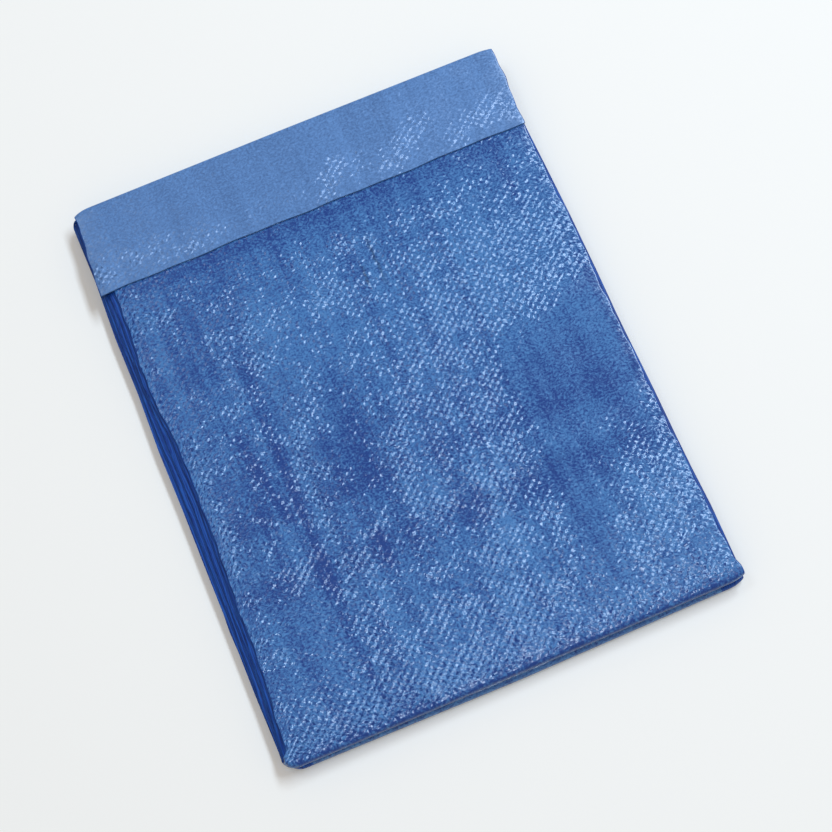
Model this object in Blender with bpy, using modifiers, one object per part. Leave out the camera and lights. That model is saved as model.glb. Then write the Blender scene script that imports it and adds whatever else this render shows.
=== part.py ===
"""Folded woven polyethylene tarp, 260 x 337 mm: one sheet folded back and forth.

+X runs across the pack, +Y along it towards the end flap, +Z up. The pack rests on z = 0.
Nine levels lie on each other. Level 9 is the end flap, folded over the top edge, and each of
the others is one panel. Two thick folds at the bottom edge each hold a smaller fold inside.
Each level stands for seven plies of the real sheet, folded together across the width first.
"""

import bpy
import numpy as np

MM = 0.001
WIDTH = 260.0
LENGTH = 337.0
FLAP_REACH = 52.8
SHEET_THICK = 1.2
LAYER_GAP = 0.5
BUNDLE_GAP = 0.3
LOWEST_BUNDLE_TOP = 4
TOP_PANEL = 8
PITCH = SHEET_THICK + LAYER_GAP

# Share of the pack's length, from the bottom edge, where the side edges are set.
STATIONS = (0.02, 0.042, 0.22, 0.5, 0.66, 0.82, 0.98)
# level: how far each left edge lies inside the outline, in mm, at each station.
LEFT_EDGE = {
    1: (2.6, 0.9, 0.5, 0.4, 0.8, 0.4, 1.4),
    2: (3.4, 1.6, 1.3, 0.8, 1.2, 0.9, 1.8),
    3: (3.0, 1.2, 0.4, 1.2, 0.6, 1.4, 1.1),
    4: (1.8, 0.2, 0.0, 0.0, 0.0, 0.0, 0.6),
    5: (0.4, 1.0, 2.4, 3.0, 2.2, 1.8, 1.6),
    6: (1.6, 2.8, 4.8, 6.2, 4.2, 3.9, 2.8),
    7: (0.8, 3.9, 7.2, 9.4, 5.6, 6.4, 4.0),
    8: (0.2, 5.9, 9.0, 11.0, 7.6, 9.0, 6.2),
    9: (1.6, 1.6, 1.6, 1.6, 1.6, 1.2, 3.4),
}
# level: the same for the right edges.
RIGHT_EDGE = {
    1: (1.2, 0.8, 0.6, 0.9, 0.7, 1.1, 1.4),
    2: (1.8, 1.4, 1.2, 1.5, 1.2, 1.7, 1.8),
    3: (1.4, 0.9, 0.8, 0.6, 0.9, 1.2, 1.6),
    4: (0.8, 0.5, 0.2, 0.3, 0.4, 0.8, 0.9),
    5: (0.9, 1.3, 1.0, 0.8, 0.3, 1.0, 0.6),
    6: (1.6, 2.0, 1.9, 1.5, 1.2, 1.6, 1.2),
    7: (1.2, 1.6, 1.7, 1.3, 0.9, 1.4, 1.0),
    8: (0.8, 2.6, 3.0, 2.7, 2.1, 2.4, 1.4),
    9: (1.6, 1.6, 1.6, 1.6, 1.6, 1.6, 0.2),
}
# Folds in the order in which the sheet passes them: edge, level before, level after, and how
# far the fold lies inside the outline, in mm, at the left end, beside the left corner, in the
# middle, beside the right corner and at the right end. A fold inside another stays clear of it.
FOLDS = (
    ("top", 9, 8, 2.4, 0.6, 0.0, 0.2, 1.0),
    ("bottom", 8, 5, 7.2, 2.6, 2.2, 2.2, 3.6),
    ("top", 5, 6, 4.6, 4.2, 4.0, 4.2, 4.4),
    ("bottom", 6, 7, 9.8, 5.2, 4.6, 4.8, 6.2),
    ("top", 7, 4, 2.4, 1.8, 1.6, 1.8, 2.0),
    ("bottom", 4, 1, 7.0, 1.7, 0.0, 0.6, 2.6),
    ("top", 1, 2, 2.6, 2.4, 2.2, 2.4, 2.8),
    ("bottom", 2, 3, 9.6, 4.3, 2.4, 3.2, 5.2),
)
# Width of a rounded corner as a share of the pack's width, and how fast it rounds off.
CORNER = 0.035
CORNER_ROUNDING = 2.2
LAST_LEVEL = 3
LAST_EDGE_INSIDE = 6.0

# Soft hollows and swells of the top panel: centre across and along as shares of the pack,
# half width across and along in mm, turn in degrees, and height in mm.
SWELLS = (
    (0.21, 0.46, 12.0, 90.0, 0.0, -0.9),
    (0.10, 0.36, 16.0, 70.0, 0.0, 0.5),
    (0.55, 0.36, 55.0, 26.0, 12.0, 0.8),
    (0.86, 0.60, 40.0, 30.0, -20.0, 0.7),
    (0.86, 0.41, 45.0, 20.0, 10.0, -0.8),
    (0.56, 0.26, 30.0, 14.0, 0.0, -0.7),
    (0.34, 0.24, 20.0, 26.0, 0.0, -0.5),
    (0.80, 0.14, 60.0, 26.0, 8.0, 0.7),
    (0.40, 0.72, 60.0, 22.0, 0.0, 0.4),
)
EDGE_DROP = 0.9
EDGE_SOFTNESS = 16.0

COLUMNS = (0.0, 0.01, 0.035, 0.09, 0.18, 0.3, 0.43, 0.56, 0.69, 0.81, 0.91, 0.97, 1.0)
PANEL_ROWS = (0.02, 0.05, 0.12, 0.22, 0.34, 0.46, 0.56, 0.66, 0.75, 0.84, 0.93, 0.98)
FLAP_ROWS = (0.0, 0.3, 0.6, 0.9)
SMALL_FOLD_STEPS = 6
THICK_FOLD_STEPS = 8


def along_stations(table_row, share):
    """Reading of a row of the edge tables at a share of the length."""
    return np.interp(share, STATIONS, table_row)


def swell_height(across, share):
    """Height of the soft hollows and swells at a point of the top panel, in mm."""
    height = np.zeros(np.broadcast(across, share).shape)
    for centre_x, centre_y, half_x, half_y, turn, rise in SWELLS:
        right = (across - centre_x) * WIDTH
        up = (share - centre_y) * LENGTH
        angle = np.radians(turn)
        along_x = right * np.cos(angle) + up * np.sin(angle)
        along_y = up * np.cos(angle) - right * np.sin(angle)
        height = height + rise * np.exp(-((along_x / half_x) ** 2) - (along_y / half_y) ** 2)
    to_side = np.minimum(across, 1.0 - across) * WIDTH
    to_bottom = np.clip(share, 0.0, 1.0) * LENGTH
    return height - EDGE_DROP * (
        np.exp(-to_side / EDGE_SOFTNESS) + np.exp(-to_bottom / EDGE_SOFTNESS)
    )


def level_height(level, across, share):
    """Height of the middle of a level: its place in the stack plus its share of the swells."""
    flat = SHEET_THICK / 2 + (level - 1) * PITCH + BUNDLE_GAP * (level > LOWEST_BUNDLE_TOP)
    part = min((level - 1) / (TOP_PANEL - 1), 1.0)
    return flat + part * swell_height(across, share)


def side_edges(level, share):
    """Left and right ends of a level at a share of the length, in mm from the middle."""
    left = -WIDTH / 2 + along_stations(LEFT_EDGE[level], share)
    right = WIDTH / 2 - along_stations(RIGHT_EDGE[level], share)
    return left, right


def fold_reach(fold, across):
    """Where a fold is outermost, the centre of its arc, and which way it points."""
    edge, before, after, left_end, by_left, in_middle, by_right, right_end = fold
    way = 1.0 if edge == "top" else -1.0
    from_left = np.maximum(1.0 - across / CORNER, 0.0) ** CORNER_ROUNDING
    from_right = np.maximum(1.0 - (1.0 - across) / CORNER, 0.0) ** CORNER_ROUNDING
    inside = (
        np.interp(across, (CORNER, 0.5, 1.0 - CORNER), (by_left, in_middle, by_right))
        + (left_end - by_left) * from_left + (right_end - by_right) * from_right
    )
    outermost = way * (LENGTH / 2 - inside)
    share = 0.5 + outermost / LENGTH
    radius = np.abs(level_height(before, across, share) - level_height(after, across, share)) / 2
    return way, outermost - way * (radius + SHEET_THICK / 2), radius


def place(level, across, y):
    """Points of one level at the given y: x from the level's own side edges, z from the stack."""
    share = 0.5 + y / LENGTH
    left, right = side_edges(level, share)
    return np.stack([left + (right - left) * across, y, level_height(level, across, share)], -1)


def panel_rows(level, across, start, end, steps):
    """Rows of one level between the two folds that end it."""
    return [place(level, across, start + (end - start) * step) for step in steps]


def fold_rows(fold, across, centre, way, radius):
    """Rows round one fold: half a turn from the level before to the level after."""
    before, after = fold[1], fold[2]
    start = place(before, across, centre)
    end = place(after, across, centre)
    steps = SMALL_FOLD_STEPS if abs(before - after) == 1 else THICK_FOLD_STEPS
    rows = []
    for step in range(steps + 1):
        angle = np.pi * step / steps
        row = start + (end - start) * (1 - np.cos(angle)) / 2
        row[:, 1] = centre + way * radius * np.sin(angle)
        rows.append(row)
    return rows


def folded_rows():
    """The whole sheet from the flap's free edge to its last edge, row by row."""
    across = np.array(COLUMNS)
    here = np.full(across.shape, LENGTH / 2 - FLAP_REACH)
    rows = []
    steps = FLAP_ROWS
    for fold in FOLDS:
        way, centre, radius = fold_reach(fold, across)
        rows += panel_rows(fold[1], across, here, centre, steps)
        rows += fold_rows(fold, across, centre, way, radius)
        here = centre
        steps = PANEL_ROWS
    last = np.full(across.shape, LENGTH / 2 - LAST_EDGE_INSIDE)
    rows += panel_rows(LAST_LEVEL, across, here, last, PANEL_ROWS + (1.0,))
    return np.array(rows)


def plastic_sheet_material():
    """Blue film-coated woven polyethylene: satin to glossy, not metallic."""
    material = bpy.data.materials.new("tarp_blue_polyethylene")
    material.use_nodes = True
    shader = material.node_tree.nodes["Principled BSDF"]
    shader.inputs["Base Color"].default_value = (0.045, 0.135, 0.42, 1.0)
    shader.inputs["Roughness"].default_value = 0.35
    shader.inputs["Metallic"].default_value = 0.0
    return material


def build():
    for old in list(bpy.data.objects):
        bpy.data.objects.remove(old, do_unlink=True)
    collection = bpy.data.collections.new("folded_tarp")
    bpy.context.scene.collection.children.link(collection)

    rows = folded_rows()
    row_count, column_count = rows.shape[:2]
    bpy.ops.mesh.primitive_grid_add(
        x_subdivisions=column_count - 1, y_subdivisions=row_count - 1, size=1.0
    )
    tarp = bpy.context.object
    tarp.name = "tarp"
    for holder in list(tarp.users_collection):
        holder.objects.unlink(tarp)
    collection.objects.link(tarp)

    # Each grid point moves to its row and column of the folded sheet.
    mesh = tarp.data
    flat = np.empty(len(mesh.vertices) * 3, np.float32)
    mesh.vertices.foreach_get("co", flat)
    flat = flat.reshape(-1, 3) + 0.5
    column = np.rint(flat[:, 0] * (column_count - 1)).astype(int)
    row = np.rint(flat[:, 1] * (row_count - 1)).astype(int)
    mesh.vertices.foreach_set("co", (rows[row, column] * MM).astype(np.float32).ravel())
    mesh.shade_smooth()
    mesh.materials.append(plastic_sheet_material())
    mesh.update()

    thickness = tarp.modifiers.new("sheet_thickness", "SOLIDIFY")
    thickness.thickness = SHEET_THICK * MM
    thickness.offset = 0.0
    thickness.use_even_offset = True
    thickness.use_quality_normals = True


build()
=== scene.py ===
"""Looks of a folded blue tarp: film-coated woven polyethylene, folded to a flat pack.

The sheet is worked out again on the folds of its solid, with rounded ply edges, creases left by
earlier folds and a plain weave of flat tapes under a glossy film.
"""

import bpy
import numpy as np
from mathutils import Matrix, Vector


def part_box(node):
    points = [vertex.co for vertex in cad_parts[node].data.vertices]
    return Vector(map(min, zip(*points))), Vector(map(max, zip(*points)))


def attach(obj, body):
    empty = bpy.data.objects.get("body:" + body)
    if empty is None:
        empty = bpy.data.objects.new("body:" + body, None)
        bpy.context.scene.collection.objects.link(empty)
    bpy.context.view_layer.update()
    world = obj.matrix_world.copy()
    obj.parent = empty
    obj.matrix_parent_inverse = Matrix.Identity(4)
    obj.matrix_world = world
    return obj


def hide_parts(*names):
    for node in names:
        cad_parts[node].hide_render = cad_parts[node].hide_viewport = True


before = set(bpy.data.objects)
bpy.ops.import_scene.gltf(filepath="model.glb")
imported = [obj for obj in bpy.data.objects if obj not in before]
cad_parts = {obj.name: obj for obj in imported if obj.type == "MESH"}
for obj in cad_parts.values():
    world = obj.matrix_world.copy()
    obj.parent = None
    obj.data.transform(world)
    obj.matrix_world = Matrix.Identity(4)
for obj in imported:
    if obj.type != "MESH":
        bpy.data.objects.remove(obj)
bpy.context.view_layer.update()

MM = 0.001

# The pack, in millimetres. Two folds bulge 0.43 mm past the outline at each side.
LOW, HIGH = (np.array(corner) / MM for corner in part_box("tarp"))
SIDE_BULGE = 0.43
WIDTH = HIGH[0] - LOW[0] - 2 * SIDE_BULGE
LENGTH = HIGH[1] - LOW[1]
FLAP_REACH = 52.8
# The flap's free edge: how far it wavers and over what length, how much it slants from side to
# side, and how far it settles down on the panel over its last few millimetres.
FLAP_WAVER = 1.2
FLAP_WAVER_LENGTH = 150.0
FLAP_SLANT = 1.6
FLAP_SETTLES = 0.42
FLAP_SETTLES_OVER = 8.0
SHEET_THICK = 1.2
LAYER_GAP = 0.5
BUNDLE_GAP = 0.3
LOWEST_BUNDLE_TOP = 4
TOP_PANEL = 8
FLAP_LEVEL = 9
PITCH = SHEET_THICK + LAYER_GAP

# Share of the pack's length, from the bottom edge, where the side edges are set.
STATIONS = (0.02, 0.042, 0.22, 0.5, 0.66, 0.82, 0.98)
# level: how far each left edge lies inside the outline, in mm, at each station.
LEFT_EDGE = {
    1: (2.6, 0.9, 0.5, 0.4, 0.8, 0.4, 1.4),
    2: (3.4, 1.6, 1.3, 0.8, 1.2, 0.9, 1.8),
    3: (3.0, 1.2, 0.4, 1.2, 0.6, 1.4, 1.1),
    4: (1.8, 0.2, 0.0, 0.0, 0.0, 0.0, 0.6),
    5: (0.4, 1.0, 2.4, 3.0, 2.2, 1.8, 1.6),
    6: (1.6, 2.8, 4.8, 6.2, 4.2, 3.9, 2.8),
    7: (0.8, 3.9, 7.2, 9.4, 5.6, 6.4, 4.0),
    8: (0.2, 5.9, 9.0, 11.0, 7.6, 9.0, 6.2),
    9: (1.6, 1.6, 1.6, 1.6, 1.6, 1.2, 3.4),
}
# level: the same for the right edges.
RIGHT_EDGE = {
    1: (1.2, 0.8, 0.6, 0.9, 0.7, 1.1, 1.4),
    2: (1.8, 1.4, 1.2, 1.5, 1.2, 1.7, 1.8),
    3: (1.4, 0.9, 0.8, 0.6, 0.9, 1.2, 1.6),
    4: (0.8, 0.5, 0.2, 0.3, 0.4, 0.8, 0.9),
    5: (0.9, 1.3, 1.0, 0.8, 0.3, 1.0, 0.6),
    6: (1.6, 2.0, 1.9, 1.5, 1.2, 1.6, 1.2),
    7: (1.2, 1.6, 1.7, 1.3, 0.9, 1.4, 1.0),
    8: (0.8, 2.6, 3.0, 2.7, 2.1, 2.4, 1.4),
    9: (1.6, 1.6, 1.6, 1.6, 1.6, 1.6, 0.2),
}
# Folds in the order in which the sheet passes them: edge, level before, level after, and how
# far the fold lies inside the outline, in mm, at the left end, beside the left corner, in the
# middle, beside the right corner and at the right end. A fold inside another stays clear of it.
FOLDS = (
    ("top", 9, 8, 2.4, 0.6, 0.0, 0.2, 1.0),
    ("bottom", 8, 5, 7.2, 2.6, 2.2, 2.2, 3.6),
    ("top", 5, 6, 4.6, 4.2, 4.0, 4.2, 4.4),
    ("bottom", 6, 7, 9.8, 5.2, 4.6, 4.8, 6.2),
    ("top", 7, 4, 2.4, 1.8, 1.6, 1.8, 2.0),
    ("bottom", 4, 1, 7.0, 1.7, 0.0, 0.6, 2.6),
    ("top", 1, 2, 2.6, 2.4, 2.2, 2.4, 2.8),
    ("bottom", 2, 3, 9.6, 4.3, 2.4, 3.2, 5.2),
)
# Width of a rounded corner as a share of the pack's width, and how fast it rounds off.
CORNER = 0.035
CORNER_ROUNDING = 2.2
# How far each side edge wavers, and over what length.
EDGE_WAVER = 1.4
WAVER_LENGTH = 70.0
LAST_LEVEL = 3
LAST_EDGE_INSIDE = 6.0

# Soft hollows and swells of the top panel: centre across and along as shares of the pack,
# half width across and along in mm, turn in degrees, and height in mm.
SWELLS = (
    (0.21, 0.46, 12.0, 90.0, 0.0, -0.9),
    (0.10, 0.36, 16.0, 70.0, 0.0, 0.5),
    (0.55, 0.36, 55.0, 26.0, 12.0, 0.8),
    (0.86, 0.60, 40.0, 30.0, -20.0, 0.7),
    (0.86, 0.41, 45.0, 20.0, 10.0, -0.8),
    (0.56, 0.26, 30.0, 14.0, 0.0, -0.7),
    (0.34, 0.24, 20.0, 26.0, 0.0, -0.5),
    (0.80, 0.14, 60.0, 26.0, 8.0, 0.7),
    (0.40, 0.72, 60.0, 22.0, 0.0, 0.4),
)

# The sheet's grid.
SIDE_STRIP = 13.0
SIDE_STRIP_COLUMNS = 22
MIDDLE_COLUMNS = 92
TOP_PANEL_ROWS = 150
FLAP_ROWS = 26
HIDDEN_PANEL_ROWS = 9
SMALL_FOLD_STEPS = 8
THICK_FOLD_STEPS = 12
# The folded plies along each side edge: loops in the thickness, how far they reach, the least
# share of that, and the length of their slow wave.
PLY_LOOPS = 4
POINTS_PER_LOOP = 2
LOOP_REACH = 0.45
LEAST_LOOP = 0.25
LOOP_WAVE_LENGTH = 90.0
RIGHT_LOOP_SEED = 11
LEFT_LOOP_SEED = 37
LEFT_EDGE_SEED = 60
RIGHT_EDGE_SEED = 80
FLAP_EDGE_SEED = 7

# Faces that meet at more than this angle, in degrees, keep a sharp edge.
SHARP_ANGLE = 50.0

# The weave: 102 tapes across the pack and 159 along it.
TAPE_ACROSS = 2.55
TAPE_ALONG = 2.12


def linear(hex_colour):
    """sRGB hex value to linear RGBA: the usual 2.4 power curve with its straight foot."""
    channels = np.array([int(hex_colour[k:k + 2], 16) for k in (1, 3, 5)]) / 255
    low = channels / 12.92
    high = ((channels + 0.055) / 1.055) ** 2.4
    return (*np.where(channels <= 0.04045, low, high).tolist(), 1.0)


# ---------------------------------------------------------------- shape of the folded sheet


def bell(x, half_width):
    """Soft bump: one at nought, falling as the exponential of minus the square."""
    return np.exp(-((x / half_width) ** 2))


def patch(across_mm, along_mm, centre_x, centre_y, half_x, half_y, turn):
    """Soft ellipse: a bell of the distance from its centre, each way by its half width."""
    right = across_mm - centre_x
    up = along_mm - centre_y
    angle = np.radians(turn)
    first = right * np.cos(angle) + up * np.sin(angle)
    second = up * np.cos(angle) - right * np.sin(angle)
    return np.exp(-((first / half_x) ** 2) - (second / half_y) ** 2)


def stroke(across_mm, along_mm, x0, y0, x1, y1, half_width):
    """Soft line from one point to another: a bell of the distance from the nearest point of it."""
    run_x = x1 - x0
    run_y = y1 - y0
    share = ((across_mm - x0) * run_x + (along_mm - y0) * run_y) / (run_x**2 + run_y**2)
    share = np.clip(share, 0.0, 1.0)
    distance = np.hypot(across_mm - x0 - share * run_x, along_mm - y0 - share * run_y)
    return bell(distance, half_width)


# Creases left by earlier folds of the top panel, in mm from its bottom left: both ends, half
# width and height. Ridges are above nought and troughs below.
CREASES = (
    (8.0, 258.0, 60.0, 259.0, 2.75, 0.158),
    (60.0, 259.0, 250.0, 256.0, 3.12, 0.054),
    (45.0, 236.5, 255.0, 236.5, 3.25, 0.135),
    (45.0, 213.0, 150.0, 213.0, 3.0, 0.072),
    (8.0, 163.0, 255.0, 163.0, 3.75, 0.099),
    (60.0, 126.0, 255.0, 127.0, 3.25, -0.126),
    (30.0, 100.0, 255.0, 101.0, 3.75, 0.072),
    (30.0, 92.0, 255.0, 92.0, 6.25, -0.135),
    (62.0, 236.0, 61.0, 40.0, 3.0, -0.09),
    (59.0, 215.0, 59.0, 92.0, 4.5, -0.248),
    (41.0, 170.0, 49.0, 125.0, 3.25, -0.135),
    (55.0, 175.0, 49.0, 125.0, 3.25, -0.135),
    (87.0, 160.0, 89.0, 122.0, 3.75, -0.117),
    (100.0, 190.0, 103.0, 122.0, 6.88, -0.203),
    (92.0, 101.0, 92.0, 84.0, 3.75, -0.158),
    (109.0, 238.0, 107.0, 90.0, 3.0, 0.072),
    (149.0, 258.0, 149.0, 231.0, 1.88, -0.203),
    (140.0, 243.0, 141.0, 232.0, 1.88, -0.18),
    (149.0, 100.0, 144.0, 74.0, 3.75, -0.158),
    (257.0, 194.0, 222.0, 178.0, 3.0, 0.203),
    (222.0, 178.0, 196.0, 160.0, 3.0, 0.099),
    (170.0, 80.0, 138.0, 34.0, 6.25, 0.158),
    (255.0, 66.0, 208.0, 34.0, 5.0, 0.135),
    (210.0, 100.0, 212.0, 84.0, 3.75, -0.113),
)
# Where the panel runs straight between the creases across it: distance up the panel and height.
LONG_PROFILE = (
    (0.0, -2.6), (3.0, -1.5), (6.0, -0.65), (10.0, -0.2), (18.0, 0.1), (30.0, 0.35), (80.0, 0.75),
    (99.0, 0.55), (124.0, 0.80), (163.0, 0.45), (236.0, 1.0), (262.0, 0.9), (286.0, 0.5),
    (337.0, 0.2),
)
# Share of each swell's height that the sheet takes beside its creases.
SWELL_SHARE = 0.5
# The corners of the profile are rounded over this length, in mm, by reads this far apart.
PROFILE_SMOOTH = 3.0
PROFILE_READS = np.linspace(-1.5, 1.5, 7)
SIDE_DROP = 0.3
SIDE_SOFTNESS = 4.0


def long_profile(along_mm):
    """Height of the straight runs between creases, with each corner rounded by averaging."""
    places, heights = np.array(LONG_PROFILE).T
    weights = bell(PROFILE_READS, 1.0)
    reads = [np.interp(along_mm + PROFILE_SMOOTH * k, places, heights) for k in PROFILE_READS]
    return sum(w * read for w, read in zip(weights, reads)) / weights.sum()


def panel_relief(across, share):
    """Height of the top panel above flat, in mm: straight runs, swells, creases, side drop."""
    across_mm = across * WIDTH
    along_mm = share * LENGTH
    height = long_profile(along_mm)
    for centre_x, centre_y, half_x, half_y, turn, rise in SWELLS:
        height = height + SWELL_SHARE * rise * patch(
            across_mm, along_mm, centre_x * WIDTH, centre_y * LENGTH, half_x, half_y, turn
        )
    for x0, y0, x1, y1, half_width, rise in CREASES:
        height = height + rise * stroke(across_mm, along_mm, x0, y0, x1, y1, half_width)
    to_side = np.minimum(across, 1.0 - across) * WIDTH
    return height - SIDE_DROP * np.exp(-to_side / SIDE_SOFTNESS)


def level_height(level, across, share):
    """Height of the middle of a level: its place in the stack plus its share of the relief."""
    flat = SHEET_THICK / 2 + (level - 1) * PITCH + BUNDLE_GAP * (level > LOWEST_BUNDLE_TOP)
    part = min((level - 1) / (TOP_PANEL - 1), 1.0)
    return flat + part * panel_relief(across, share)


def eased(share, values):
    """The values set at the stations, joined by curves that leave each station level."""
    stations = np.array(STATIONS)
    values = np.array(values)
    step = np.clip(np.searchsorted(stations, share) - 1, 0, len(stations) - 2)
    way = np.clip((share - stations[step]) / np.diff(stations)[step], 0.0, 1.0)
    return values[step] + np.diff(values)[step] * way * way * (3 - 2 * way)


# Lengths of the three sines of a slow wave, as shares of its reach.
WAVE_LENGTHS = (1.0, 0.43, 0.21)


def slow_wave(along, seed, reach):
    """Uneven wave from nought to one: three sines of unlike lengths with seeded starts."""
    starts = np.random.default_rng(seed).uniform(0, 2 * np.pi, 3)
    lengths = reach * np.array(WAVE_LENGTHS)
    waves = sum(np.sin(2 * np.pi * along / length + start)
                for length, start in zip(lengths, starts))
    return 0.5 + waves / 6


def side_edges(level, share):
    """Left and right ends of a level at a share of the length, in mm from the middle. Each has
    its own slow waver."""
    left_waver = EDGE_WAVER * (slow_wave(share * LENGTH, LEFT_EDGE_SEED + level, WAVER_LENGTH) - 0.5)
    right_waver = EDGE_WAVER * (slow_wave(share * LENGTH, RIGHT_EDGE_SEED + level, WAVER_LENGTH) - 0.5)
    left = -WIDTH / 2 + eased(share, LEFT_EDGE[level]) + left_waver
    right = WIDTH / 2 - eased(share, RIGHT_EDGE[level]) + right_waver
    return left, right


def fold_reach(fold, across):
    """Which way a fold points, the centre of its arc and its radius, from its outermost line."""
    edge, before, after, left_end, by_left, in_middle, by_right, right_end = fold
    way = 1.0 if edge == "top" else -1.0
    from_left = np.maximum(1.0 - across / CORNER, 0.0) ** CORNER_ROUNDING
    from_right = np.maximum(1.0 - (1.0 - across) / CORNER, 0.0) ** CORNER_ROUNDING
    inside = (
        np.interp(across, (CORNER, 0.5, 1.0 - CORNER), (by_left, in_middle, by_right))
        + (left_end - by_left) * from_left + (right_end - by_right) * from_right
    )
    outermost = way * (LENGTH / 2 - inside)
    share = 0.5 + outermost / LENGTH
    radius = np.abs(level_height(before, across, share) - level_height(after, across, share)) / 2
    return way, outermost - way * (radius + SHEET_THICK / 2), radius


def place(level, across, y):
    """Points of one level at the given y: x from the level's own side edges, z from the stack."""
    share = 0.5 + y / LENGTH
    left, right = side_edges(level, share)
    return np.stack([left + (right - left) * across, y, level_height(level, across, share)], -1)


def panel_rows(level, across, start, end, steps):
    """Rows of one level between the two folds that end it, the end row left out."""
    shares = np.arange(steps)[:, None] / steps
    return place(level, across[None, :], start[None, :] + (end - start)[None, :] * shares)


def fold_rows(fold, across, centre, way, radius):
    """Half a turn from the level before to the level after, the last row left out."""
    before, after = fold[1], fold[2]
    steps = SMALL_FOLD_STEPS if abs(before - after) == 1 else THICK_FOLD_STEPS
    angle = np.pi * np.arange(steps)[:, None, None] / steps
    start = place(before, across, centre)
    end = place(after, across, centre)
    rows = start + (end - start) * (1 - np.cos(angle)) / 2
    rows[:, :, 1] = centre + way * radius * np.sin(angle[:, :, 0])
    return rows


def folded_middle(across):
    """The sheet's middle surface from the flap's free edge to its last edge, and each row's level."""
    edge_waver = FLAP_WAVER * (slow_wave(across * WIDTH, FLAP_EDGE_SEED, FLAP_WAVER_LENGTH) - 0.5)
    here = LENGTH / 2 - FLAP_REACH + edge_waver + FLAP_SLANT * (across - 0.5)
    rows = []
    levels = []
    for fold in FOLDS:
        level = fold[1]
        steps = {FLAP_LEVEL: FLAP_ROWS, TOP_PANEL: TOP_PANEL_ROWS}.get(level, HIDDEN_PANEL_ROWS)
        way, centre, radius = fold_reach(fold, across)
        rows.append(panel_rows(level, across, here, centre, steps))
        if level > TOP_PANEL:
            from_edge = rows[-1][:, :, 1] - here
            rows[-1][:, :, 2] -= FLAP_SETTLES * np.exp(-from_edge / FLAP_SETTLES_OVER)
        levels += [level] * steps
        rows.append(fold_rows(fold, across, centre, way, radius))
        levels += [level] * (len(rows[-1]) // 2) + [fold[2]] * (len(rows[-1]) - len(rows[-1]) // 2)
        here = centre
    last = np.full(across.shape, LENGTH / 2 - LAST_EDGE_INSIDE)
    rows.append(panel_rows(LAST_LEVEL, across, here, last, HIDDEN_PANEL_ROWS))
    rows.append(place(LAST_LEVEL, across, last)[None])
    levels += [LAST_LEVEL] * (HIDDEN_PANEL_ROWS + 1)
    return np.concatenate(rows), np.array(levels)


def unit(vectors):
    """Each vector over its own length."""
    return vectors / np.maximum(np.linalg.norm(vectors, axis=-1, keepdims=True), 1e-9)


def ply_edge(middle, normal, outward, along, seed):
    """Folded plies along one side: from the upper face to the lower one the edge swells out in
    loops, each loop's reach a half sine of its share of the thickness times its own slow wave."""
    count = PLY_LOOPS * POINTS_PER_LOOP + PLY_LOOPS - 1
    shares = np.arange(1, count + 1) / (count + 1)
    rows = []
    for share in shares:
        loop = int(min(share * PLY_LOOPS, PLY_LOOPS - 1))
        swell = np.abs(np.sin(np.pi * share * PLY_LOOPS))
        reach = LOOP_REACH * swell * (LEAST_LOOP + slow_wave(along, seed + loop, LOOP_WAVE_LENGTH))
        rows.append(middle + normal * SHEET_THICK * (0.5 - share) + outward * reach[:, None])
    return np.stack(rows, axis=1)


def folded_ring(middle, along):
    """Closed ring of points round each row: upper face, right ply edge, lower face backwards,
    left ply edge. The faces lie half a thickness off the middle, along its normal, which is
    the cross product of the way along the sheet and the way across it."""
    way_along = np.gradient(middle, axis=0)
    way_across = np.gradient(middle, axis=1)
    normal = unit(np.cross(way_along, way_across))
    upper = middle + normal * SHEET_THICK / 2
    lower = middle - normal * SHEET_THICK / 2
    outward = unit(way_across)
    right = ply_edge(middle[:, -1], normal[:, -1], outward[:, -1], along, RIGHT_LOOP_SEED)
    left = ply_edge(middle[:, 0], normal[:, 0], -outward[:, 0], along, LEFT_LOOP_SEED)
    return np.concatenate([upper, right, lower[:, ::-1], left[:, ::-1]], axis=1), right.shape[1]


def ring_faces(row_count, ring_count):
    """Quads between each ring and the next, wound so that they face outwards."""
    first = np.arange(row_count - 1)[:, None] * ring_count
    here = np.arange(ring_count)[None, :]
    beside = (here + 1) % ring_count
    return np.stack([first + here, first + here + ring_count,
                     first + beside + ring_count, first + beside], -1).reshape(-1, 4)


def end_cap(first, column_count, edge_count, facing_back):
    """Faces that close the ring of one row: quads between upper and lower face, and a fan of
    triangles over each ply edge."""
    column = np.arange(column_count)
    upper = first + column
    lower = first + 2 * column_count + edge_count - 1 - column
    quads = np.stack([upper[:-1], upper[1:], lower[1:], lower[:-1]], -1)
    right = np.concatenate([[upper[-1]], first + column_count + np.arange(edge_count),
                            [lower[-1]]])
    left = np.concatenate([[lower[0]], first + 2 * column_count + edge_count
                           + np.arange(edge_count), [upper[0]]])
    fans = [np.stack([np.full(len(line) - 2, line[0]), line[1:-1], line[2:]], -1)
            for line in (right, left)]
    triangles = np.concatenate(fans)
    if not facing_back:
        return quads[:, ::-1], triangles[:, ::-1]
    return quads, triangles


# ---------------------------------------------------------------- what lies on the sheet

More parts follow.
